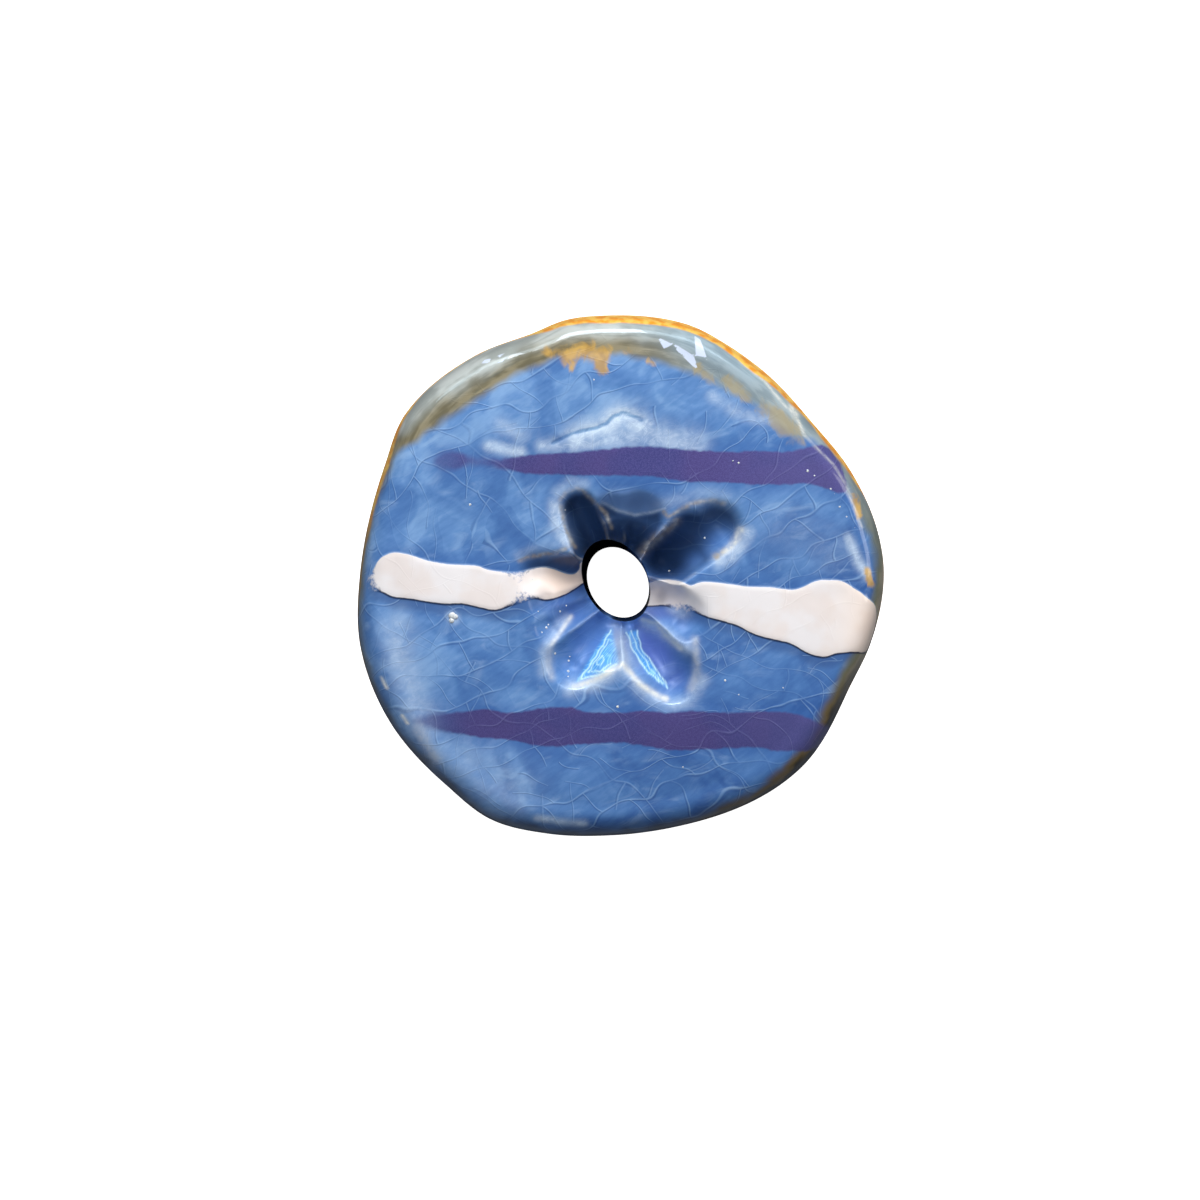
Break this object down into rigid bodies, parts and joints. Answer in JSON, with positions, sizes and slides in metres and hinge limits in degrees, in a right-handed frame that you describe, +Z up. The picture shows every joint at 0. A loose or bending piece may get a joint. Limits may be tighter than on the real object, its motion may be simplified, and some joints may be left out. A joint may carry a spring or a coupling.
{
  "type": "glazed ceramic ring doughnut",
  "caption": "Hand-built ceramic ring doughnut: a flat-topped glazed slab with a poked hole, finger marks round it and a striped top.",
  "frame": {"origin": "middle of the outline's box, on the flat underside", "axes": "+Z up out of the glazed top, +X along the stripes to the picture's right, +Y to the picture's top"},
  "size_m": [0.1008, 0.0996, 0.0223],
  "materials": {
    "blue_glaze": "gloss"
  },
  "bodies": {
    "root": {"ceramic_doughnut": "blue_glaze"}
  },
  "joints": []
}
